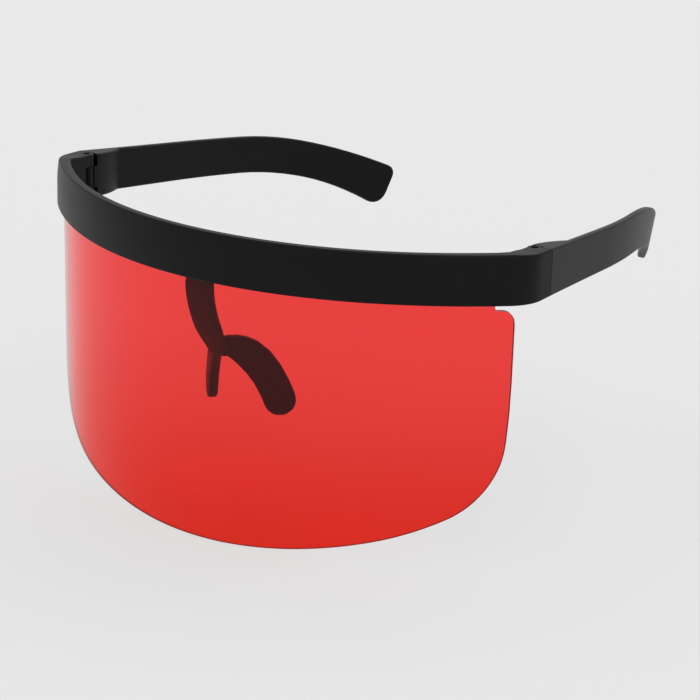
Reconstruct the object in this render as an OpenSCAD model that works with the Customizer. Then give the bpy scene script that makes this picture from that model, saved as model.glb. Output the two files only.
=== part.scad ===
// Oversized shield sunglasses, open. The wearer looks along -Y, +Z is up, millimetres.
// The origin is the middle of the brow bar's flat top face, at half the bar's thickness.
// Left and right are the wearer's, so the left temple stands at +X.
// Every curved piece follows one plan line: the bar's outer face, made of tangent arcs and
// measured as an arc length from the middle. Lens, slot and foot plate are set in from it.

/* [Brow bar] */
// Height of the bar
bar_h = 14.1; // [12:0.1:18]
// Thickness of the bar, front to back
bar_t = 3.2; // [3.1:0.1:4.5]
// How far the bar's front leans back from half its height up to its top edge
bar_crown = 0.6; // [0:0.05:0.8]
// Radius of the outer face across the front
front_radius = 106.7; // [95:0.1:125]
// Half angle of the front arc
front_angle = 28.7; // [24:0.1:32]
// Radius of the outer face along each side
side_radius = 129; // [118:0.5:150]
// Angle of each side arc
side_angle = 16.5; // [13:0.1:20]
// Radius of the outer face round each corner
corner_radius = 12.8; // [11:0.1:16]
// Angle of each corner arc
corner_angle = 44.6; // [38:0.1:48]
// Length of the straight end piece behind the corner
end_len = 5.2; // [4.5:0.1:8]
// How far the bar's top slopes down round the corner to the joint
end_drop = 0.4; // [0:0.05:0.8]
// Rounding of the bar's long edges
bar_edge_r = 0.6; // [0.3:0.05:0.9]
// Wall in front of the lens slot
front_wall = 1.1; // [0.9:0.05:1.3]
// How much further the lens is set in, and the bar thicker, where the corners start
corner_inset = 0.7; // [0:0.05:1]
// Depth of the lens slot in the underside
slot_depth = 6; // [4:0.1:7]

/* [Shield lens] */
// Thickness of the sheet
lens_t = 1.2; // [0.9:0.05:1.4]
// Height of the lens below the bar, at the middle
lens_drop = 76.1; // [65:0.1:85]
// Distance along the bend by which the lens passes the start of the corner arc
lens_overhang = 2.2; // [0:0.1:5]
// How far the lens leans in from the bar to its bottom
lens_lean = 0.65; // [0:0.05:1.5]
// Radius of the outline between the bottom and the corners, in the flat sheet
lens_shoulder_radius = 123; // [60:1:160]
// Angle of that part of the outline
lens_shoulder_angle = 10.1; // [7:0.1:18]
// Radius of the bottom corners in the flat sheet
lens_corner_radius = 28; // [20:0.5:36]
// Angle of the bottom corners
lens_corner_angle = 60; // [50:0.5:63]
// Radius of the outline between the corners and the straight sides
lens_side_radius = 180; // [100:2:260]
// Angle of that part of the outline
lens_side_angle = 5.6; // [2:0.1:8]
// Width of the free ear beside the tongue
ear_w = 6.1; // [4.5:0.1:9]
// Gap between the ear and the underside of the bar
ear_drop = 1.8; // [1:0.1:3]
// Radius of the ear's top corner
ear_r = 4; // [1:0.1:4.5]
// Clearance of the tongue in its slot, each side
slot_gap = 0.1; // [0.05:0.01:0.15]

/* [Temples] */
// Length from the butt joint to the tip, along the arm
temple_len = 126.7; // [115:0.1:145]
// Height at the hinge
temple_h = 13.5; // [12:0.1:14]
// Height at the waist of the arm
waist_h = 11.8; // [9:0.1:12.5]
// Height of the ear tip
tip_h = 14.6; // [10:0.1:16]
// Thickness of the arm
arm_t = 2.4; // [1.8:0.1:3.2]
// Length over which the hinge block thins to the arm
block_len = 14.2; // [12:0.1:20]
// Inward lean of the arm in plan
arm_lean = 7.7; // [3:0.1:12]
// Distance along the arm to the waist
waist_at = 92; // [80:1:105]
// Downward slope of the arm
arm_slope = 4; // [0:0.1:6]
// Distance along the arm where the inward bend starts
bend_start = 40; // [25:1:55]
// Radius of the inward bend
bend_radius = 210; // [160:1:300]
// Distance along the arm where the drop starts
drop_start = 66; // [55:1:85]
// Radius of the drop
drop_radius = 128; // [90:1:250]
// Rounding of the arm's long edges
arm_edge_r = 0.7; // [0.3:0.05:0.9]
// Radius of the tip's upper corner
tip_top_r = 2.5; // [1:0.1:5]
// Radius of the tip's lower corner
tip_bottom_r = 5; // [2:0.1:7]

/* [Hinges] */
// Radius of the knuckles
knuckle_r = 2.2; // [2:0.05:2.6]
// Distance from the hinge axis to the outer end of the butt joint, across the temple
hinge_inset = 4.9; // [4.4:0.05:5.4]
// Distance from the hinge axis back to the butt joint, along the temple
hinge_setback = 1.2; // [0.8:0.05:1.6]
// Height of the bar's upper knuckle
upper_knuckle_h = 3.6; // [2.8:0.1:4.2]
// Height of the bar's lower knuckle
lower_knuckle_h = 3; // [2.4:0.1:3.6]
// Running gap between knuckle faces and at the butt joint
hinge_gap = 0.15; // [0.1:0.01:0.25]
// Radial gap between a knuckle and the hollow that it turns in
swing_gap = 0.3; // [0.2:0.01:0.4]
// Radius of the hinge screw's shank
hinge_screw_r = 0.7; // [0.6:0.05:0.9]
// Radius of the hinge screw's head
hinge_head_r = 1.1; // [1:0.05:1.3]
// Height of the hinge screw's head
hinge_head_h = 0.8; // [0.5:0.05:1.2]
// Depth of the head below the top face
hinge_head_sink = 0.5; // [0.2:0.05:0.9]

/* [Nose bridge] */
// Width of the foot plate on the back of the bar
foot_w = 15; // [13:0.5:20]
// Height of the foot plate
foot_h = 8.5; // [7:0.1:9.5]
// Thickness of the foot plate
foot_t = 1.6; // [1.4:0.1:2.4]
// Distance from the bar's top down to the foot plate
foot_drop = 2.2; // [1.5:0.1:3]
// Distance between the two bridge screws
bridge_screw_gap = 9.6; // [8.5:0.1:11]
// Radius of a bridge screw's shank
bridge_screw_r = 0.6; // [0.5:0.05:0.7]
// Radius of a bridge screw's countersunk head
bridge_head_r = 1.15; // [1:0.05:1.3]
// Width of the stem where it leaves the bar
stem_w = 9.2; // [8:0.1:11]
// Width of the stem at its waist
stem_waist_w = 9; // [7:0.1:11]
// Width of the stem's end in the crotch
stem_end_w = 6; // [4:0.1:8]
// Thickness of the stem
stem_t = 2; // [1.8:0.1:3.2]
// Height from the bar's underside down to the crotch between the pads
stem_drop = 24.1; // [20:0.1:30]
// How far back the stem's middle line ends behind the bar's back face
stem_reach = 9.6; // [7:0.1:13]
// Distance from the lens's back to the stem
stem_gap = 0.2; // [0.15:0.05:0.6]
// Reach of a pad from the stem, level
pad_reach = 18.8; // [15:0.1:24]
// Drop of a pad from its root to its tip
pad_drop = 21.2; // [17:0.1:28]
// Width of a pad where it leaves the stem
pad_root_w = 4.4; // [3.5:0.1:7]
// Width of a pad
pad_w = 9.2; // [8:0.1:13]
// Thickness of a pad
pad_t = 2.8; // [2:0.1:3.4]
// Angle in plan between a pad and straight back
pad_spread = 45; // [35:0.5:55]

/* [Hidden] */
$fn = 64;
quarter = 90;
// Steps in a rounded corner of a profile, in the bar's front, in each stretch of its plan
// line, in the arcs of the lens's lower outline, and in the stem
corner_steps = 4;
crown_steps = 4;
plan_steps = [16, 12, 8, 8];
lens_steps = [18, 8, 16, 2];
stem_steps = 12;
// Length by which cuts run past the faces that they cross
overrun = 1;
// Play of a screw in a bore: turning in the temple, and seated in the bar
turning_play = 0.04;
seated_play = 0.01;
// Gap between faces that are screwed or laid together
seat_gap = 0.02;
black = "#1b1b1d";
steel = "#8c8c90";
lens_red = [0.90, 0.14, 0.13, 0.72];

// Plan line of the outer face: arc length, then [x, y], heading and inward normal.
front_len = front_radius * front_angle * PI / 180;
side_len = side_radius * side_angle * PI / 180;
corner_len = corner_radius * corner_angle * PI / 180;
side_end = front_len + side_len;
corner_end = side_end + corner_len;
face_end = corner_end + end_len;
end_heading = front_angle + side_angle + corner_angle;

function heading(s) =
    s < front_len ? front_angle * s / front_len :
    s < side_end ? front_angle + side_angle * (s - front_len) / side_len :
    s < corner_end ? front_angle + side_angle + corner_angle * (s - side_end) / corner_len :
    end_heading;
function inward(angle) = [-sin(angle), cos(angle)];
function forward(angle) = [cos(angle), sin(angle)];
function front_centre() = [0, front_radius - bar_t / 2];
function side_centre() = front_centre() + (side_radius - front_radius) * inward(front_angle);
function corner_centre() =
    side_centre() + (corner_radius - side_radius) * inward(front_angle + side_angle);
// Point on the plan line moved inwards by inset, for s from 0 to any length past the corner
function plan_point(s, inset = 0) =
    let (angle = heading(s), normal = inward(angle))
    s < front_len ? front_centre() - (front_radius - inset) * normal :
    s < side_end ? side_centre() - (side_radius - inset) * normal :
    corner_centre() - (corner_radius - inset) * normal + max(0, s - corner_end) * forward(angle);
// The same for either side of the middle
function both_sides(s, inset) =
    let (p = plan_point(abs(s), inset))
    [sign(s) * p[0], p[1]];

// Hinge frame: x runs outwards across the temple and y back along it
butt_corner = plan_point(face_end);
hinge_axis = butt_corner - hinge_inset * forward(arm_lean) - hinge_setback * inward(arm_lean);
function from_hinge(p) = hinge_axis + p[0] * forward(arm_lean) + p[1] * inward(arm_lean);
swing_r = knuckle_r + swing_gap;
block_t = hinge_inset + knuckle_r;
// The end piece is as thick as its knuckles stand in from its outer face, less a fine step
knuckle_step = swing_gap / 3;
end_t = (butt_corner - hinge_axis) * -inward(end_heading) + knuckle_r - knuckle_step;
middle_top = -upper_knuckle_h - hinge_gap;
middle_bottom = -temple_h + lower_knuckle_h + hinge_gap;

// Extra set-in of the lens, which the bar's thickness follows
function eased(t) = let (u = min(1, max(0, t))) u * u * (3 - 2 * u);
function corner_share(s) = eased((s - front_len) / side_len);
function lens_inset(s) = front_wall + slot_gap + corner_inset * corner_share(s);

// Lens sheet
slot_w = lens_t + 2 * slot_gap;
lens_half_arc = side_end + lens_overhang;
tongue_end = lens_half_arc - ear_w;
tongue_top = -bar_h + slot_depth - 3 * slot_gap;
ear_top = -bar_h - ear_drop;
lens_bottom = -bar_h - lens_drop;
slot_end = tongue_end + 3 * slot_gap;
tongue_draft = 2 * slot_gap;
notch_r = ear_drop / 2;
// Angles at which the arcs of the lower outline meet, from the bottom's middle to the side
bottom_angle = 90 - lens_shoulder_angle - lens_corner_angle - lens_side_angle;
lens_angles = [0, bottom_angle, bottom_angle + lens_shoulder_angle, 90 - lens_side_angle, 90];
lens_bottom_radius = (lens_half_arc - lens_side_radius
    + (lens_side_radius - lens_corner_radius) * sin(lens_angles[3])
    + (lens_corner_radius - lens_shoulder_radius) * sin(lens_angles[2])) / sin(bottom_angle)
    + lens_shoulder_radius;
lens_radii = [lens_bottom_radius, lens_shoulder_radius, lens_corner_radius, lens_side_radius];
function lens_centre(i) =
    i == 0 ? [0, lens_bottom + lens_bottom_radius] :
    lens_centre(i - 1) - (lens_radii[i - 1] - lens_radii[i]) * inward(lens_angles[i]);
function lens_arc_s(i, angle) = lens_centre(i)[0] + lens_radii[i] * sin(angle);

// Nose bridge
foot_bottom = -foot_drop - foot_h;
back_y = bar_t / 2;
bridge_screw_z = -(foot_drop + (bar_h - slot_depth)) / 2;
bridge_screw_angle = asin(bridge_screw_gap / 2 / (front_radius - bar_t));
screw_grip_share = 0.6;
bridge_screw_grip = bar_t * screw_grip_share;
foot_half_angle = 4 * bridge_screw_angle;

// Closed polygon of a rectangle with rounded corners, from corner [x0, y0] to [x1, y1]
function rounded_box(x0, y0, x1, y1, r) = [
    for (k = [0:3], i = [0:corner_steps])
        let (corner = [[x1 - r, y1 - r], [x0 + r, y1 - r], [x0 + r, y0 + r], [x1 - r, y0 + r]][k])
        corner + r * forward(quarter * (k + i / corner_steps))
];
// Point of a quadratic curve
function curve(a, b, c, t) = (1 - t) ^ 2 * a + 2 * t * (1 - t) * b + t ^ 2 * c;
function sorted(v) =
    len(v) < 2 ? v :
    let (pivot = v[floor(len(v) / 2)])
    concat(sorted([for (x = v) if (x < pivot) x]), [pivot], sorted([for (x = v) if (x > pivot) x]));
// Solid through rings of as many points each, with flat ends
module loft(rings) {
    count = len(rings[0]);
    last = (len(rings) - 1) * count;
    sides = [
        for (i = [0:len(rings) - 2], j = [0:count - 1])
            let (a = i * count + j, b = i * count + (j + 1) % count)
            each [[a, a + count, b], [b, a + count, b + count]]
    ];
    ends = [[for (j = [0:count - 1]) j], [for (j = [count - 1:-1:0]) last + j]];
    polyhedron([for (ring = rings) each ring], concat(sides, ends));
}

module both_ends() {
    children();
    mirror([1, 0, 0]) children();
}

// Hinge frame, whose level zero is the top of the end piece at the joint
module at_hinge() {
    translate([hinge_axis[0], hinge_axis[1], -end_drop]) rotate(arm_lean) children();
}

// Lofts a section, given by its points [inset, z] at each arc length, along the plan line
module along_face(stations, section) {
    loft([
        for (s = stations)
            [for (p = section(abs(s))) concat(both_sides(s, p[0]), p[1])]
    ]);
}

// Arc lengths over half the bar, with each arc cut into even steps
half_stations = concat(
    [for (i = [0:plan_steps[0]]) front_len * i / plan_steps[0]],
    [for (i = [1:plan_steps[1]]) front_len + side_len * i / plan_steps[1]],
    [for (i = [1:plan_steps[2]]) side_end + corner_len * i / plan_steps[2]],
    [for (i = [1:plan_steps[3]]) corner_end + end_len * i / plan_steps[3]]
);
// Points half way between those, so that a cut along the bar never runs through its corners
cut_stations = [for (i = [1:len(half_stations) - 1]) (half_stations[i - 1] + half_stations[i]) / 2];
// The same stations from one end to the other
function both_halves(half, last) =
    let (kept = [for (s = half) if (s > 0 && s < last - bar_edge_r) s])
    concat([-last], [for (i = [len(kept) - 1:-1:0]) -kept[i]], half[0] == 0 ? [0] : [], kept, [last]);

// Thickness of the bar, whose end pieces have a flat inner face that meets its back in a corner
function bar_thickness(s) =
    let (to_inner_face = end_t - (butt_corner - plan_point(s)) * -inward(end_heading))
    max(bar_t + corner_inset * corner_share(s),
        s < side_end - corner_len ? 0 : to_inner_face / (inward(heading(s)) * inward(end_heading)));
// Top and underside of the bar, which run into those of the temple at the butt joint
function bar_top(s) = -end_drop * eased((s - side_end) / corner_len);
function bar_bottom(s) = -bar_h + (bar_h - end_drop - temple_h) * eased((s - corner_end) / end_len);
// Set-back of the front at height z, which fades out round the corner
function crown_inset(s, z) =
    bar_crown * max(0, 1 + 2 * z / bar_h) ^ 2 * (1 - eased((s - side_end) / corner_len));
// The bar's profile: a rounded box with more points down its front, which is then set back
function bar_section(s) =
    let (
        thick = bar_thickness(s),
        bottom = bar_bottom(s),
        top = bar_top(s),
        box = rounded_box(0, bottom, thick, top, bar_edge_r),
        front_at = 2 * (corner_steps + 1),
        front_top = top - bar_edge_r,
        front_h = top - bottom - 2 * bar_edge_r
    )
    [
        for (p = concat(
            [for (i = [0:front_at - 1]) box[i]],
            [for (i = [1:crown_steps - 1]) [0, front_top - front_h * i / crown_steps]],
            [for (i = [front_at:len(box) - 1]) box[i]]
        ))
            [p[0] + crown_inset(s, p[1]) * (1 - p[0] / thick), p[1]]
    ];
function slot_section(s) =
    let (front = lens_inset(s) - slot_gap, top = -bar_h + slot_depth, below = -bar_h - overrun)
    [[front, below], [front + slot_w, below], [front + slot_w, top], [front, top]];

// Knuckle with its upper and lower rim rounded where they are free
module knuckle(bottom, top, rim_bottom, rim_top) {
    translate([0, 0, bottom + rim_bottom]) cylinder(r = knuckle_r, h = top - bottom - rim_top - rim_bottom);
    if (rim_top > 0)
        translate([0, 0, top - rim_top]) cylinder(r1 = knuckle_r, r2 = knuckle_r - rim_top, h = rim_top);
    if (rim_bottom > 0)
        translate([0, 0, bottom]) cylinder(r1 = knuckle_r - rim_bottom, r2 = knuckle_r, h = rim_bottom);
}

// Room cut from the bar behind the butt joint, and inside it for the temple to fold into: the
// knuckles end the cut at the hinge axis, and between them it goes on to clear the middle one
module bar_end_cut() {
    at_hinge() {
        translate([-3 * end_t, hinge_setback - hinge_gap, -bar_h - overrun])
            cube([6 * end_t, 3 * end_len, bar_h + 2 * overrun]);
        translate([-3 * end_t, -swing_r, middle_bottom - hinge_gap])
            cube([3 * end_t, 3 * end_len, middle_top - middle_bottom + 2 * hinge_gap]);
    }
    translate([hinge_axis[0], hinge_axis[1], -bar_h - overrun]) rotate(end_heading - quarter)
        translate([-3 * end_t, 0, 0]) cube([3 * end_t, 3 * end_len, bar_h + 2 * overrun]);
}

// Hollow for the temple's middle knuckle
module middle_hollow() {
    at_hinge() translate([0, 0, middle_bottom - hinge_gap])
        cylinder(r = swing_r, h = middle_top - middle_bottom + 2 * hinge_gap);
}

module bar_knuckles() {
    rim = bar_edge_r / 2;
    at_hinge() {
        knuckle(-upper_knuckle_h, 0, 0, rim);
        knuckle(-temple_h, -temple_h + lower_knuckle_h, rim, 0);
    }
}

// Bore and counterbore of a hinge, with play round the screw
module hinge_bore(play) {
    translate([0, 0, -bar_h - overrun]) cylinder(r = hinge_screw_r + play, h = bar_h + 2 * overrun);
    translate([0, 0, -hinge_head_sink - hinge_head_h])
        cylinder(r = hinge_head_r + turning_play, h = hinge_head_sink + hinge_head_h + overrun);
}

module brow_bar() {
    color(black) difference() {
        union() {
            difference() {
                along_face(both_halves(half_stations, face_end + end_len), function(s) bar_section(s));
                along_face(both_halves(cut_stations, slot_end), function(s) slot_section(s));
                both_ends() {
                    bar_end_cut();
                    middle_hollow();
                }
            }
            both_ends() bar_knuckles();
        }
        both_ends() at_hinge() hinge_bore(seated_play);
        for (side = [-1, 1]) bridge_screw_place(side)
            translate([0, 0, -bridge_screw_grip - seat_gap])
                cylinder(r = bridge_screw_r + seated_play, h = bridge_screw_grip + overrun);
    }
}

// Upper and lower edge of the flat sheet at arc length s from its middle
function sheet_top(s) =
    s <= tongue_end - tongue_draft ? tongue_top :
    s <= tongue_end ? tongue_top + (ear_top + notch_r - tongue_top) * (s - tongue_end + tongue_draft) / tongue_draft :
    s <= tongue_end + notch_r ? ear_top + notch_r - sqrt(max(0, notch_r ^ 2 - (tongue_end + notch_r - s) ^ 2)) :
    s <= lens_half_arc - ear_r ? ear_top :
    ear_top - ear_r + sqrt(max(0, ear_r ^ 2 - (s - lens_half_arc + ear_r) ^ 2));
function sheet_bottom(s) =
    let (i = s <= lens_arc_s(0, lens_angles[1]) ? 0 : s <= lens_arc_s(1, lens_angles[2]) ? 1 :
        s <= lens_arc_s(2, lens_angles[3]) ? 2 : 3)
    lens_centre(i)[1] - sqrt(max(0, lens_radii[i] ^ 2 - (s - lens_centre(i)[0]) ^ 2));

// Inward lean of the sheet, none at half the slot's depth
function sheet_lean(z) =
    let (level = -bar_h + slot_depth / 2)
    lens_lean * (level - z) / (level - lens_bottom);

// Columns of the bent sheet, closer together where its edges turn
function sheet_columns() = sorted(concat(
    [0],
    [for (i = [0:3], j = [1:lens_steps[i]])
        lens_arc_s(i, lens_angles[i] + (lens_angles[i + 1] - lens_angles[i]) * j / lens_steps[i])],
    [tongue_end - tongue_draft, tongue_end],
    [for (i = [1:corner_steps]) tongue_end + notch_r * (1 - cos(quarter * i / corner_steps))],
    [for (i = [0:corner_steps - 1]) lens_half_arc - ear_r * (1 - sin(quarter * i / corner_steps))]
));

module shield_lens() {
    half = sheet_columns();
    columns = concat([for (i = [len(half) - 1:-1:1]) -half[i]], half);
    // Each column's ring: outer top, outer bottom, inner bottom, inner top
    rings = [
        for (s = columns)
            let (
                top = sheet_top(abs(s)),
                bottom = sheet_bottom(abs(s)),
                top_in = lens_inset(abs(s)) + sheet_lean(top),
                bottom_in = lens_inset(abs(s)) + sheet_lean(bottom)
            )
            [concat(both_sides(s, top_in), top),
             concat(both_sides(s, bottom_in), bottom),
             concat(both_sides(s, bottom_in + lens_t), bottom),
             concat(both_sides(s, top_in + lens_t), top)]
    ];
    color(lens_red) loft(rings);
}

module bridge_screw_place(side) {
    translate(front_centre()) rotate(side * bridge_screw_angle)
        translate([0, -front_radius + bar_t, bridge_screw_z]) rotate([-90, 0, 0]) children();
}

// Countersunk screw whose head lies level with z = grip
module countersunk(shank_r, head_r, depth, grip) {
    translate([0, 0, -depth]) cylinder(r = shank_r, h = depth + grip - (head_r - shank_r));
    translate([0, 0, grip - (head_r - shank_r)])
        cylinder(r1 = shank_r, r2 = head_r, h = head_r - shank_r);
}

module bridge_screw(side) {
    color(steel) bridge_screw_place(side)
        countersunk(bridge_screw_r, bridge_head_r, bridge_screw_grip, foot_t);
}

// Ring of a rounded bar section round a centre, with its half sizes along two unit vectors
function section_ring(centre, across, up, half_across, half_up, half_down, r) = [
    for (p = rounded_box(-half_across, -half_down, half_across, half_up, r))
        centre + p[0] * across + p[1] * up
];

// Stem: down the bar's back face, forward under the bar to the lens, then back to the crotch
function unit(v) = v / norm(v);
stem_front = lens_inset(0) + sheet_lean(-bar_h - stem_drop) + lens_t - bar_t / 2 + stem_gap;
stem_top = [0, stem_front + stem_t / 2, -bar_h - stem_t];
stem_end = [0, back_y + stem_reach, -bar_h - stem_drop];
stem_knee_share = 0.4;
stem_knee = [0, stem_top[1], stem_top[2] + stem_knee_share * (stem_end[2] - stem_top[2])];
function stem_point(t) = curve(stem_top, stem_knee, stem_end, t);
function stem_along(t) = unit((1 - t) * (stem_knee - stem_top) + t * (stem_end - stem_knee));
function stem_half_width(t) =
    (t < stem_waist_share ? stem_w + (stem_waist_w - stem_w) * eased(t / stem_waist_share) :
     stem_waist_w + (stem_end_w - stem_waist_w) * eased((t - stem_waist_share) / (1 - stem_waist_share))) / 2;
stem_waist_share = 0.65;
function stem_ring(t) =
    let (back = cross([1, 0, 0], -stem_along(t)))
    section_ring(stem_point(t), [1, 0, 0], back, stem_half_width(t), stem_t / 2, stem_t / 2, stem_t / 3);
// Rings above the stem: on the foot plate and down to the bar's underside, clear of its curved back
neck_front = back_y + seat_gap + stem_w ^ 2 / (8 * (front_radius - bar_t));
neck_rear = back_y + foot_t - seat_gap;
function neck_ring(z, front, rear) =
    section_ring([0, (front + rear) / 2, z], [1, 0, 0], [0, -1, 0], stem_w / 2, (rear - front) / 2,
                 (rear - front) / 2, foot_t / 3);

// Pad: a flat paddle in an upright plane, whose middle line curves down from the stem
pad_level = [sin(pad_spread), cos(pad_spread), 0];
pad_face = [-cos(pad_spread), sin(pad_spread), 0];
pad_root_at = stem_end + pad_root_w / 2 * [0, 0, 1];
pad_knee_share = [0.66, 0];
pad_swell_share = 0.5;
function pad_place(p) = pad_root_at + p[0] * pad_level - p[1] * [0, 0, 1];
pad_ends = [[0, 0], [pad_knee_share[0] * pad_reach, pad_knee_share[1] * pad_drop], [pad_reach, pad_drop]];
function pad_middle(t) = curve(pad_ends[0], pad_ends[1], pad_ends[2], t);
function pad_along(t) = unit((1 - t) * (pad_ends[1] - pad_ends[0]) + t * (pad_ends[2] - pad_ends[1]));
function pad_half_width(t) =
    let (
        swell = (pad_root_w + (pad_w - pad_root_w) * sin(quarter * min(1, t / pad_swell_share))) / 2,
        left = norm(pad_middle(1) - pad_middle(t)),
        tip = pad_w / 2
    )
    left < tip ? swell * sqrt(1 - (1 - left / tip) ^ 2) : swell;
function pad_ring(t) =
    let (
        half = max(pad_t / 4, pad_half_width(t)),
        thick = min(pad_t / 2, half),
        along = pad_along(t),
        across = along[1] * pad_level + along[0] * [0, 0, 1]
    )
    section_ring(pad_place(pad_middle(t)), pad_face, across, thick, half, half, thick * pad_round_share);
pad_round_share = 0.7;

module foot_plate() {
    difference() {
        intersection() {
            translate(front_centre()) rotate(-quarter - foot_half_angle)
                rotate_extrude(angle = 2 * foot_half_angle, $fn = 180)
                    translate([front_radius - bar_t - foot_t, foot_bottom])
                        square([foot_t - seat_gap, foot_h]);
            rotate([90, 0, 0]) translate([0, 0, -front_radius]) linear_extrude(2 * front_radius)
                polygon(rounded_box(-foot_w / 2, foot_bottom, foot_w / 2, -foot_drop, foot_t));
        }
        for (side = [-1, 1]) bridge_screw_place(side)
            countersunk(bridge_screw_r + turning_play, bridge_head_r + turning_play,
                        overrun, foot_t + turning_play);
    }
}

module nose_bridge() {
    color(black) {
        foot_plate();
        loft(concat(
            [neck_ring(foot_bottom + foot_t, back_y + foot_t / 2, neck_rear),
             neck_ring(foot_bottom, neck_front, neck_rear),
             neck_ring(-bar_h - stem_gap, neck_front, stem_front + stem_t)],
            [for (i = [0:stem_steps]) stem_ring(i / stem_steps)]
        ));
        both_ends() loft([for (t = pad_ring_shares) pad_ring(t)]);
    }
}
pad_ring_shares = [0, 0.08, 0.17, 0.26, 0.36, 0.5, 0.65, 0.78, 0.84, 0.89, 0.93, 0.96, 0.98, 1];

// Path of the arm's outer face in the hinge frame, at mid height
function bend_angle(s) = max(0, s - bend_start) / bend_radius * 180 / PI;
function drop_angle(s) = arm_slope + max(0, s - drop_start) / drop_radius * 180 / PI;
function arm_level(s) = [0, cos(drop_angle(s)), -sin(drop_angle(s))];
function arm_along(s) = cos(bend_angle(s)) * arm_level(s) - sin(bend_angle(s)) * [1, 0, 0];
function arm_out(s) = sin(bend_angle(s)) * arm_level(s) + cos(bend_angle(s)) * [1, 0, 0];
function arm_up(s) = [0, sin(drop_angle(s)), cos(drop_angle(s))];

tip_len = max(tip_top_r, tip_bottom_r);
arm_stations = concat(
    [for (i = [0:6]) block_len * i / 6],
    [for (i = [1:3]) block_len + (bend_start - block_len) * i / 3],
    [for (i = [1:18]) bend_start + (temple_len - tip_len - bend_start) * i / 18],
    [for (i = [1:6]) temple_len - tip_len + tip_len * sin(quarter * i / 6)]
);
function arm_point(i) =
    i == 0 ? [hinge_inset, hinge_setback, -temple_h / 2] :
    let (a = arm_stations[i - 1], b = arm_stations[i])
    arm_point(i - 1) + (b - a) * arm_along((a + b) / 2);
function arm_half_height(s) =
    (s < waist_at ? waist_h + (temple_h - waist_h) * (1 - s / waist_at) ^ 2 :
     waist_h + (tip_h - waist_h) * ((s - waist_at) / (temple_len - waist_at)) ^ 2) / 2;
function tip_loss(s, r) = s < temple_len - r ? 0 : r - sqrt(max(0, r ^ 2 - (s - temple_len + r) ^ 2));
function arm_thickness(s) = arm_t + (block_t - arm_t) * max(0, 1 - (s / block_len) ^ 2);
function arm_ring(i) =
    let (
        s = arm_stations[i],
        half_t = arm_thickness(s) / 2,
        half_h = arm_half_height(s)
    )
    section_ring(arm_point(i) - half_t * arm_out(s), -arm_out(s), i == 0 ? [0, 0, 1] : arm_up(s), half_t,
                 half_h - tip_loss(s, tip_top_r), half_h - tip_loss(s, tip_bottom_r), arm_edge_r);

module temple() {
    at_hinge() difference() {
        union() {
            difference() {
                loft([for (i = [0:len(arm_stations) - 1]) arm_ring(i)]);
                // Hollows for the bar's knuckles, above and below the middle one
                for (level = [[middle_top, bar_h], [-bar_h - overrun, middle_bottom + bar_h + overrun]])
                    translate([0, 0, level[0]]) {
                        cylinder(r = swing_r, h = level[1]);
                        translate([-block_t, -block_t, 0]) cube([block_t, block_t + swing_r, level[1]]);
                    }
            }
            knuckle(middle_bottom, middle_top, 0, 0);
        }
        translate([0, 0, -bar_h - overrun])
            cylinder(r = hinge_screw_r + turning_play, h = bar_h + 2 * overrun);
    }
}

module temple_left() {
    color(black) temple();
}

module temple_right() {
    color(black) mirror([1, 0, 0]) temple();
}

// Cheese-head screw, its slot across the head
module hinge_screw() {
    head_top = -hinge_head_sink;
    slot = hinge_head_h / 3;
    at_hinge() difference() {
        union() {
            translate([0, 0, -temple_h + hinge_head_sink])
                cylinder(r = hinge_screw_r, h = temple_h - 2 * hinge_head_sink);
            translate([0, 0, head_top - hinge_head_h]) cylinder(r = hinge_head_r, h = hinge_head_h);
        }
        translate([-hinge_head_r - overrun, -slot / 2, head_top - slot])
            cube([2 * hinge_head_r + 2 * overrun, slot, slot + overrun]);
    }
}

module hinge_screw_left() {
    color(steel) hinge_screw();
}

module hinge_screw_right() {
    color(steel) mirror([1, 0, 0]) hinge_screw();
}

module bridge_screw_left() {
    bridge_screw(1);
}

module bridge_screw_right() {
    bridge_screw(-1);
}

brow_bar();
shield_lens();
nose_bridge();
bridge_screw_left();
bridge_screw_right();
temple_left();
temple_right();
hinge_screw_left();
hinge_screw_right();
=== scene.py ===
"""Finishes the shield sunglasses: black mouldings, red lens, screws, studio stage and camera."""

import math

import bpy
from bpy.props import FloatProperty, FloatVectorProperty, PointerProperty
from mathutils import Matrix, Vector


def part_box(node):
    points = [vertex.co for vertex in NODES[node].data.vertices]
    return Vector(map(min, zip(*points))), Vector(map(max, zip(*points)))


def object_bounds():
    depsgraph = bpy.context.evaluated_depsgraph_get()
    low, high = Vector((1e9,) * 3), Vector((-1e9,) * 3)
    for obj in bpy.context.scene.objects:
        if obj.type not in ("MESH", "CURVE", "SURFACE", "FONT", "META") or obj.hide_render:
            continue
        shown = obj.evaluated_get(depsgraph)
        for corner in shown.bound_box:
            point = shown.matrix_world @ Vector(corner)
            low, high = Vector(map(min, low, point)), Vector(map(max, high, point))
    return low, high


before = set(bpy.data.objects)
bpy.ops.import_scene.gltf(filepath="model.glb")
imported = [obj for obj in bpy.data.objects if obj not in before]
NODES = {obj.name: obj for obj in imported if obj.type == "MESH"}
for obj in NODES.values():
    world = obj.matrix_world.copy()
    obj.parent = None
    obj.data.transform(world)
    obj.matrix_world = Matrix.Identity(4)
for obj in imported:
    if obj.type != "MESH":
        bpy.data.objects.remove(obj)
CAD_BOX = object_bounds()

bl_info = {
    "name": "Shield sunglasses",
    "version": (1, 0, 0),
    "blender": (4, 5, 0),
    "location": "3D View > Sidebar > Sunglasses",
    "description": "Finishes the mouldings, lens and screws of a pair of shield sunglasses",
    "category": "Object",
}

MOULDINGS = ("brow_bar", "temple_left", "temple_right")
SCREWS = ("bridge_screw_left", "bridge_screw_right", "hinge_screw_left", "hinge_screw_right")
LENS_LOW, LENS_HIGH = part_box("shield_lens")

# Corners of neighbouring faces that lie closer than this, in metres, are joined
JOIN_REACH = 2e-6
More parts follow.
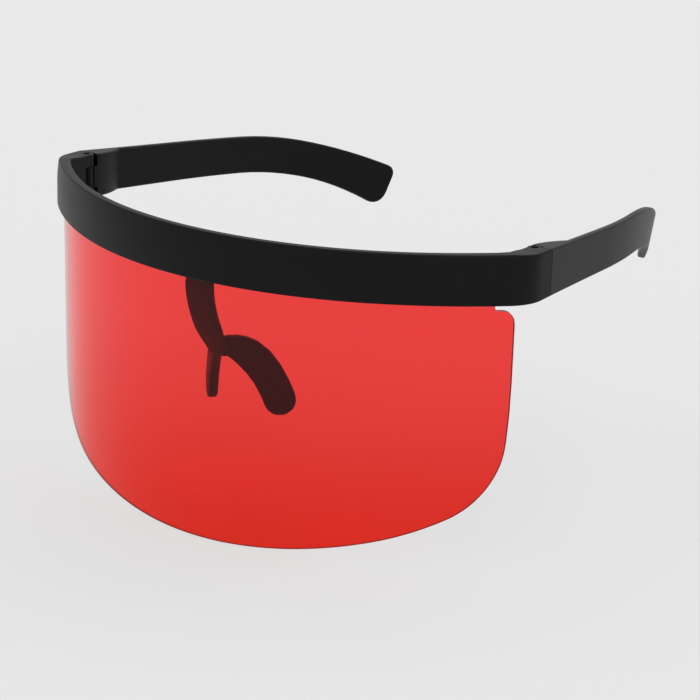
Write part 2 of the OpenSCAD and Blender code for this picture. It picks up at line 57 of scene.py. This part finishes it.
# Angle between two faces, in degrees, over which the edge between them is sharp
SHARP = 28.0
# Weight of large faces over small ones where the shading is evened out
EVEN_WEIGHT = 50
# Name of the node group that keeps sharp edges crisp
CRISP = "crisp edges"
# Inputs and output of a Mix node that is set to colours
MIX_LOW = 6
MIX_HIGH = 7
MIX_RESULT = 2

# Clouds in the plastic: their size, its share of the colour outside and inside them, and their roughness
CLOUD_SIZE = 0.018
CLOUD_TONES = (0.85, 1.25)
CLOUD_ROUGHNESS = 0.05
# What the fine grain adds to the plastic's roughness, and how strong and high its bumps are
GRAIN_ROUGHNESS = 0.06
GRAIN_STRENGTH = 0.06
GRAIN_HEIGHT = 0.00003
PLASTIC_INDEX = 1.5

# Share of the lens's height, from its top, that the upper tint takes alone; lower down the lens's colour
# darkens towards its bottom edge
UPPER_TINT = 0.2
# How far up or down a face of the lens has to look to start as cut rim, and to be all rim
RIM_RISE = (0.35, 0.7)
# Shares of the lens's half width between which its free ears begin
EAR_PLACE = (0.9, 0.93)
# Way that the left ear's end face looks, from straight left round to the back
EAR_HEADING = math.radians(55.0)
# How squarely a face has to look that way to start as rim, and to be all rim
EAR_FACING = (0.6, 0.85)
# Marks that the cutter leaves on the rim: their size, shares of the rim's colour and roughness
CUT_SIZE = 0.0004
CUT_TONES = (0.8, 1.2)
CUT_ROUGHNESS = 0.4
CUT_UNEVEN = 0.1

# Marks that turning leaves on the screws, and the rounding of the screws' edges
TURNED_SIZE = 0.0009
TURNED_TONES = (0.8, 1.3)
TURNED_UNEVEN = 0.12
SCREW_EDGE = 0.00004
SCREW_SHARP = 35.0

# Distance in metres that the floor reaches each way
FLOOR_REACH = 6.0
# Way that the overhead lamp looks, and its width in the sky in degrees
LAMP_AIM = Vector((-0.15, -0.30, -1.0))
LAMP_WIDTH = 70.0
# Camera: turn, rise and roll in degrees, the point that it looks at and its distance from there
VIEW_ANGLES = (34.99, 18.12, 1.608)
VIEW_TARGET = Vector((0.039565, 0.018352, -0.031118))
VIEW_DISTANCE = 0.6729
SENSOR_WIDTH = 36.0
CLIP_NEAR = 0.05
CLIP_FAR = 20.0


class Shade:
    """A number, colour or vector that varies over a surface. Arithmetic on numbers adds Math nodes."""

    def __init__(self, tree, socket):
        self.tree = tree
        self.socket = socket

    def __add__(self, other):
        return self.tree.math("ADD", self, other)

    def __radd__(self, other):
        return self.tree.math("ADD", other, self)

    def __sub__(self, other):
        return self.tree.math("SUBTRACT", self, other)

    def __rsub__(self, other):
        return self.tree.math("SUBTRACT", other, self)

    def __mul__(self, other):
        return self.tree.math("MULTIPLY", self, other)

    def __rmul__(self, other):
        return self.tree.math("MULTIPLY", other, self)

    def __abs__(self):
        return self.tree.math("ABSOLUTE", self)


class Tree:
    """A node tree, with a single method that makes any node in it."""

    def __init__(self, tree):
        self.tree = tree
        self.tree.nodes.clear()

    def node(self, kind, settings=None, inputs=None, output=0):
        """Adds a node, sets its settings and then its inputs, and returns one of its outputs."""
        made = self.tree.nodes.new(kind)
        for key, value in (settings or {}).items():
            setattr(made, key, value)
        for key, value in (inputs or {}).items():
            if isinstance(value, Shade):
                self.tree.links.new(value.socket, made.inputs[key])
            else:
                made.inputs[key].default_value = value
        return Shade(self, made.outputs[output]) if made.outputs else None


class Finish(Tree):
    """The node tree of one material, or of the world."""

    def __init__(self, name, world=None):
        self.owner = world or bpy.data.materials.new(name)
        self.owner.use_nodes = True
        super().__init__(self.owner.node_tree)

    def math(self, operation, *values):
        """A Math node on one or more numbers."""
        return self.node("ShaderNodeMath", {"operation": operation}, dict(enumerate(values)))

    def place(self):
        """The point on the object, in metres."""
        return self.node("ShaderNodeTexCoord", output="Object")

    def split(self, vector):
        """The three numbers of a vector."""
        first = self.node("ShaderNodeSeparateXYZ", inputs={"Vector": vector})
        return [Shade(self, socket) for socket in first.socket.node.outputs]

    def ray(self, kind):
        """1 for the rays of one kind, and 0 for all others."""
        return self.node("ShaderNodeLightPath", output=kind)

    def noise(self, place, size, detail=2.0, rough=0.5):
        """Noise from 0 to 1 whose lumps are about size metres apart."""
        return self.node(
            "ShaderNodeTexNoise",
            inputs={"Vector": place, "Scale": 1.0 / size, "Detail": detail, "Roughness": rough},
            output="Fac",
        )

    def blend(self, mask, low, high):
        """A colour that goes from low to high as mask goes from 0 to 1."""
        return self.node(
            "ShaderNodeMix",
            {"data_type": "RGBA"},
            {"Factor": mask, MIX_LOW: low, MIX_HIGH: high},
            output=MIX_RESULT,
        )

    def cloudy(self, mask, colour, tones):
        """A colour that varies between two shares of itself."""
        return self.blend(mask, *(scaled(colour, tone) for tone in tones))

    def uneven(self, mask, spread):
        """A number that varies evenly about 0."""
        return (mask - 0.5) * spread

    def ramp(self, value, low, high):
        """A number eased from 0 to 1 as value goes from low to high."""
        return self.node(
            "ShaderNodeMapRange",
            {"interpolation_type": "SMOOTHSTEP"},
            {"Value": value, "From Min": low, "From Max": high},
        )

    def principled(self, inputs):
        """A Principled shader."""
        return self.node("ShaderNodeBsdfPrincipled", inputs=inputs)

    def pick(self, mask, first, second):
        """A mix that is all of the first shader where mask is 0, and all of the second where it is 1."""
        return self.node("ShaderNodeMixShader", inputs={"Fac": mask, 1: first, 2: second})

    def material(self, shader):
        """Ends the tree in a shader, and returns the material."""
        self.node("ShaderNodeOutputMaterial", inputs={"Surface": shader})
        return self.owner


def scaled(colour, factor=1.0):
    """A colour times a factor, as the four numbers that a colour socket takes."""
    return (*(channel * factor for channel in colour), 1.0)


def dress(node, material):
    """Gives a CAD node one material."""
    slots = NODES[node].data.materials
    slots.clear()
    slots.append(material)


def join_faces(node):
    """Shades a node smoothly over faces that are joined along their edges, and returns its object."""
    piece = NODES[node]
    piece.data.polygons.foreach_set("use_smooth", [True] * len(piece.data.polygons))
    weld = piece.modifiers.new("joined faces", "WELD")
    weld.merge_threshold = JOIN_REACH
    return piece


def soften(node, radius, angle=SHARP, steps=2):
    """Rounds a node's sharp edges a little and shades its curved faces smoothly."""
    piece = join_faces(node)
    edge = piece.modifiers.new("broken edges", "BEVEL")
    edge.width = radius
    edge.segments = steps
    edge.limit_method = "ANGLE"
    edge.angle_limit = math.radians(angle)
    edge.use_clamp_overlap = True
    even = piece.modifiers.new("even faces", "WEIGHTED_NORMAL")
    even.weight = EVEN_WEIGHT


def keep_crisp(node):
    """Shades a node's curved faces smoothly and keeps its sharp edges sharp."""
    piece = join_faces(node)
    group = bpy.data.node_groups.get(CRISP) or crisp_edges()
    piece.modifiers.new(CRISP, "NODES").node_group = group


def crisp_edges():
    """Makes the node group that shades sharp edges crisply."""
    group = bpy.data.node_groups.new(CRISP, "GeometryNodeTree")
    for way in ("INPUT", "OUTPUT"):
        group.interface.new_socket("Geometry", in_out=way, socket_type="NodeSocketGeometry")
    tree = Tree(group)
    mesh = tree.node("NodeGroupInput")
    bend = tree.node("GeometryNodeInputMeshEdgeAngle", output="Unsigned Angle")
    sharp = tree.node(
        "FunctionNodeCompare",
        {"data_type": "FLOAT", "operation": "GREATER_THAN"},
        {0: bend, 1: math.radians(SHARP)},
    )
    crisp = tree.node(
        "GeometryNodeSetShadeSmooth",
        {"domain": "EDGE"},
        {"Geometry": mesh, "Selection": sharp, "Shade Smooth": False},
    )
    tree.node("NodeGroupOutput", inputs={0: crisp})
    return group


class MouldingLook(bpy.types.PropertyGroup):
    """Finish of the black mouldings."""

    colour: FloatVectorProperty(
        name="Colour",
        description="Colour of the black plastic",
        subtype="COLOR",
        size=3,
        min=0.0,
        max=1.0,
        default=(0.0045, 0.0045, 0.0048),
    )
    bridge_colour: FloatVectorProperty(
        name="Nose bridge colour",
        description="Colour of the softer plastic of the nose bridge",
        subtype="COLOR",
        size=3,
        min=0.0,
        max=1.0,
        default=(0.022, 0.022, 0.023),
    )
    roughness: FloatProperty(
        name="Roughness",
        description="Roughness of the satin surface",
        subtype="FACTOR",
        min=0.05,
        max=0.9,
        default=0.415,
    )
    shine: FloatProperty(
        name="Shine",
        description="Strength of the mirror light on the satin surface, 0.5 for a polished one",
        subtype="FACTOR",
        min=0.0,
        max=1.0,
        default=0.12,
    )
    grain: FloatProperty(
        name="Grain",
        description="Distance between the lumps of the tool's fine texture",
        subtype="DISTANCE",
        unit="LENGTH",
        min=0.00005,
        max=0.002,
        default=0.00035,
    )
    edge: FloatProperty(
        name="Edge rounding",
        description="Rounding of the crisp edges of the bar and the temples",
        subtype="DISTANCE",
        unit="LENGTH",
        min=0.0,
        max=0.0004,
        default=0.00012,
    )


class LensLook(bpy.types.PropertyGroup):
    """Finish of the lens."""

    tint: FloatVectorProperty(
        name="Tint",
        description="Colour of white light that has passed through the upper part of the lens",
        subtype="COLOR",
        size=3,
        min=0.0,
        max=1.0,
        default=(1.0, 0.056, 0.052),
    )
    # Colour at the lens's bottom edge, which makes the lens darker towards its bottom
    bottom_colour: FloatVectorProperty(
        name="Colour near the bottom",
        description="Colour of white light that has passed through the lens at its bottom edge",
        subtype="COLOR",
        size=3,
        min=0.0,
        max=1.0,
        default=(0.91, 0.025, 0.012),
    )
    edge_tint: FloatVectorProperty(
        name="Edge tint",
        description="Colour of the sheet's cut rim",
        subtype="COLOR",
        size=3,
        min=0.0,
        max=1.0,
        default=(0.20, 0.010, 0.010),
    )
    shadow_tint: FloatVectorProperty(
        name="Shadow tint",
        description="Colour of the light that each face of the lens lets on to the floor",
        subtype="COLOR",
        size=3,
        min=0.0,
        max=1.0,
        default=(1.0, 0.965, 0.96),
    )
    index: FloatProperty(
        name="Refractive index",
        description="Refractive index of the lens",
        min=1.2,
        max=1.8,
        default=1.25,
    )


class ScrewLook(bpy.types.PropertyGroup):
    """Finish of the screws."""

    colour: FloatVectorProperty(
        name="Colour",
        description="Colour of the darkened steel",
        subtype="COLOR",
        size=3,
        min=0.0,
        max=1.0,
        default=(0.16, 0.16, 0.17),
    )
    roughness: FloatProperty(
        name="Roughness",
        description="Roughness of the turned steel",
        subtype="FACTOR",
        min=0.05,
        max=0.9,
        default=0.38,
    )


class StageLook(bpy.types.PropertyGroup):
    """Studio, lamps and camera."""

    tone: FloatProperty(
        name="Floor tone",
        description="Reflectance of the floor and tone of the backdrop",
        subtype="FACTOR",
        min=0.0,
        max=1.0,
        default=0.815,
    )
    dome: FloatProperty(
        name="Dome light",
        description="Strength of the light that comes from all round",
        min=0.0,
        max=3.0,
        default=0.75,
    )
    key: FloatProperty(
        name="Overhead light",
        description="Share of the floor's light that comes from the broad lamp overhead",
        subtype="FACTOR",
        min=0.0,
        max=1.0,
        default=0.25,
    )
    drop: FloatProperty(
        name="Floor gap",
        description="Distance from the lens's bottom edge to the floor",
        subtype="DISTANCE",
        unit="LENGTH",
        min=0.0,
        max=0.1,
        default=0.0002,
    )
    focal: FloatProperty(
        name="Focal length",
        description="Focal length of the camera in millimetres",
        min=20.0,
        max=300.0,
        default=126.57,
    )


class SUNGLASSES_OT_mouldings(bpy.types.Operator):
    """Gives the bar, the temples and the nose bridge their black plastic"""

    bl_idname = "sunglasses.mouldings"
    bl_label = "Finish the mouldings"

    def execute(self, context):
        look = context.scene.sunglasses_moulding
        satin = self.plastic(look, "satin black plastic", look.colour)
        for node in MOULDINGS:
            dress(node, satin)
            soften(node, look.edge)
        dress("nose_bridge", self.plastic(look, "soft black plastic", look.bridge_colour))
        keep_crisp("nose_bridge")
        return {"FINISHED"}

    def plastic(self, look, name, colour):
        """Black plastic of one colour, with cloudy and fine variation."""
        finish = Finish(name)
        place = finish.place()
        cloud = finish.noise(place, CLOUD_SIZE, detail=3.0)
        grain = finish.noise(place, look.grain, rough=0.6)
        roughness = look.roughness + finish.uneven(cloud, CLOUD_ROUGHNESS)
        bump = finish.node(
            "ShaderNodeBump",
            inputs={"Height": grain, "Strength": GRAIN_STRENGTH, "Distance": GRAIN_HEIGHT},
        )
        plastic = finish.principled(
            {
                "Base Color": finish.cloudy(cloud, colour, CLOUD_TONES),
                "Roughness": roughness + finish.uneven(grain, GRAIN_ROUGHNESS),
                "Normal": bump,
                "IOR": PLASTIC_INDEX,
                "Specular IOR Level": look.shine,
            }
        )
        return finish.material(plastic)


class SUNGLASSES_OT_lens(bpy.types.Operator):
    """Gives the lens its see-through red tint and its darker cut rim"""

    bl_idname = "sunglasses.lens"
    bl_label = "Finish the lens"

    def execute(self, context):
        look = context.scene.sunglasses_lens
        finish = Finish("clear red lens")
        place = finish.place()
        across, _, up = finish.split(place)
        start = LENS_HIGH.z - UPPER_TINT * (LENS_HIGH.z - LENS_LOW.z)
        # The lens's colour darkens from the upper tint to the bottom colour towards its bottom edge
        lower = finish.ramp(up, start, LENS_LOW.z)
        sheet = finish.principled(
            {
                "Base Color": finish.blend(lower, scaled(look.tint), scaled(look.bottom_colour)),
                "Roughness": 0.0,
                "IOR": look.index,
                "Transmission Weight": 1.0,
            }
        )
        marks = finish.noise(place, CUT_SIZE)
        edge = finish.principled(
            {
                "Base Color": finish.cloudy(marks, look.edge_tint, CUT_TONES),
                "Roughness": CUT_ROUGHNESS + finish.uneven(marks, CUT_UNEVEN),
            }
        )
        body = finish.pick(self.rim(finish, across), sheet, edge)
        passing = finish.node("ShaderNodeBsdfTransparent", inputs={"Color": scaled(look.shadow_tint)})
        for kind in ("Is Shadow Ray", "Is Diffuse Ray"):
            body = finish.pick(finish.ray(kind), body, passing)
        dress("shield_lens", finish.material(body))
        keep_crisp("shield_lens")
        return {"FINISHED"}

    def rim(self, finish, across):
        """1 on the faces that the cutter left round the sheet, and 0 on the sheet's front and back."""
        normal = finish.node("ShaderNodeNewGeometry", output="Normal")
        side, back, rise = finish.split(normal)
        level_rim = finish.ramp(abs(rise), *RIM_RISE)
        outward = finish.math("SIGN", across) * side
        facing = outward * math.cos(EAR_HEADING) + back * math.sin(EAR_HEADING)
        ear = finish.ramp(abs(across), *(share * LENS_HIGH.x for share in EAR_PLACE))
        ear_rim = ear * finish.ramp(abs(facing), *EAR_FACING)
        return finish.math("MAXIMUM", level_rim, ear_rim)


class SUNGLASSES_OT_screws(bpy.types.Operator):
    """Gives the hinge and bridge screws their darkened steel"""

    bl_idname = "sunglasses.screws"
    bl_label = "Finish the screws"

    def execute(self, context):
        look = context.scene.sunglasses_screw
        finish = Finish("darkened steel")
        marks = finish.noise(finish.place(), TURNED_SIZE, detail=3.0)
        turned = finish.principled(
            {
                "Base Color": finish.cloudy(marks, look.colour, TURNED_TONES),
                "Metallic": 1.0,
                "Roughness": look.roughness + finish.uneven(marks, TURNED_UNEVEN),
            }
        )
        steel = finish.material(turned)
        for node in SCREWS:
            dress(node, steel)
            soften(node, SCREW_EDGE, SCREW_SHARP, steps=1)
        return {"FINISHED"}


class SUNGLASSES_OT_stage(bpy.types.Operator):
    """Makes the pale floor, the soft studio light and the camera"""

    bl_idname = "sunglasses.stage"
    bl_label = "Make the stage"

    def execute(self, context):
        look = context.scene.sunglasses_stage
        scene = context.scene
        scene.view_settings.view_transform = "Standard"
        self.floor(scene, look)
        self.dome(scene, look)
        self.overhead(scene, look)
        self.camera(scene, look)
        return {"FINISHED"}

    def floor(self, scene, look):
        """A wide matt floor just under the lens."""
        level = CAD_BOX[0].z - look.drop
        corners = [
            (x * FLOOR_REACH, y * FLOOR_REACH, level)
            for x, y in ((-1, -1), (1, -1), (1, 1), (-1, 1))
        ]
        mesh = bpy.data.meshes.new("floor")
        mesh.from_pydata(corners, [], [(0, 1, 2, 3)])
        floor = bpy.data.objects.new("floor", mesh)
        scene.collection.objects.link(floor)
        finish = Finish("pale floor")
        matt = finish.principled(
            {
                "Base Color": scaled((look.tone,) * 3),
                "Roughness": 1.0,
                "Specular IOR Level": 0.0,
            }
        )
        mesh.materials.append(finish.material(matt))

    def dome(self, scene, look):
        """Light from all round. The camera, mirrors and clear surfaces see it in the floor's tone."""
        world = bpy.data.worlds.new("dome")
        scene.world = world
        finish = Finish("dome", world)
        light = finish.node(
            "ShaderNodeBackground",
            inputs={"Color": (1.0, 1.0, 1.0, 1.0), "Strength": look.dome},
        )
        shown = finish.node(
            "ShaderNodeBackground",
            inputs={"Color": scaled((look.tone,) * 3), "Strength": 1.0},
        )
        seen = finish.ray("Is Camera Ray")
        for kind in ("Is Glossy Ray", "Is Transmission Ray"):
            seen = finish.math("MAXIMUM", seen, finish.ray(kind))
        finish.node("ShaderNodeOutputWorld", inputs={"Surface": finish.pick(seen, light, shown)})

    def overhead(self, scene, look):
        """A broad lamp that is far enough away to light the whole floor evenly."""
        lamp = bpy.data.lights.new("overhead lamp", "SUN")
        lamp.angle = math.radians(LAMP_WIDTH)
        lamp.energy = look.key * math.pi / -LAMP_AIM.normalized().z
        body = bpy.data.objects.new("overhead lamp", lamp)
        body.rotation_mode = "QUATERNION"
        body.rotation_quaternion = LAMP_AIM.to_track_quat("-Z", "Y")
        scene.collection.objects.link(body)

    def camera(self, scene, look):
        """The camera, which stands to the front right and a little above."""
        azimuth, elevation, roll = (math.radians(angle) for angle in VIEW_ANGLES)
        away = Vector(
            (
                math.sin(azimuth) * math.cos(elevation),
                -math.cos(azimuth) * math.cos(elevation),
                math.sin(elevation),
            )
        )
        level = Vector((math.cos(azimuth), math.sin(azimuth), 0.0))
        right = level * math.cos(roll) + away.cross(level) * math.sin(roll)
        top = away.cross(right)
        spot = VIEW_TARGET + away * VIEW_DISTANCE
        lens = bpy.data.cameras.new("camera")
        lens.lens = look.focal
        lens.sensor_width = SENSOR_WIDTH
        lens.clip_start = CLIP_NEAR
        lens.clip_end = CLIP_FAR
        body = bpy.data.objects.new("camera", lens)
        turn = Matrix((right, top, away)).transposed()
        body.matrix_world = Matrix.Translation(spot) @ turn.to_4x4()
        scene.collection.objects.link(body)
        scene.camera = body


class SUNGLASSES_PT_panel(bpy.types.Panel):
    """Sizes and colours of the sunglasses, with the steps that make them"""

    bl_idname = "SUNGLASSES_PT_panel"
    bl_label = "Shield sunglasses"
    bl_space_type = "VIEW_3D"
    bl_region_type = "UI"
    bl_category = "Sunglasses"

    def draw(self, context):
        for looks, step in (
            ("sunglasses_moulding", "sunglasses.mouldings"),
            ("sunglasses_lens", "sunglasses.lens"),
            ("sunglasses_screw", "sunglasses.screws"),
            ("sunglasses_stage", "sunglasses.stage"),
        ):
            box = self.layout.box()
            group = getattr(context.scene, looks)
            for name in group.__annotations__:
                box.prop(group, name)
            box.operator(step)


GROUPS = {
    "sunglasses_moulding": MouldingLook,
    "sunglasses_lens": LensLook,
    "sunglasses_screw": ScrewLook,
    "sunglasses_stage": StageLook,
}
STEPS = (
    SUNGLASSES_OT_mouldings,
    SUNGLASSES_OT_lens,
    SUNGLASSES_OT_screws,
    SUNGLASSES_OT_stage,
)


def register():
    for group in GROUPS.values():
        bpy.utils.register_class(group)
    for step in STEPS:
        bpy.utils.register_class(step)
    bpy.utils.register_class(SUNGLASSES_PT_panel)
    for name, group in GROUPS.items():
        setattr(bpy.types.Scene, name, PointerProperty(type=group))


def unregister():
    for name in GROUPS:
        delattr(bpy.types.Scene, name)
    bpy.utils.unregister_class(SUNGLASSES_PT_panel)
    for step in reversed(STEPS):
        bpy.utils.unregister_class(step)
    for group in reversed(list(GROUPS.values())):
        bpy.utils.unregister_class(group)


def main():
    register()
    bpy.ops.sunglasses.mouldings()
    bpy.ops.sunglasses.lens()
    bpy.ops.sunglasses.screws()
    bpy.ops.sunglasses.stage()


if __name__ == "__main__":
    main()
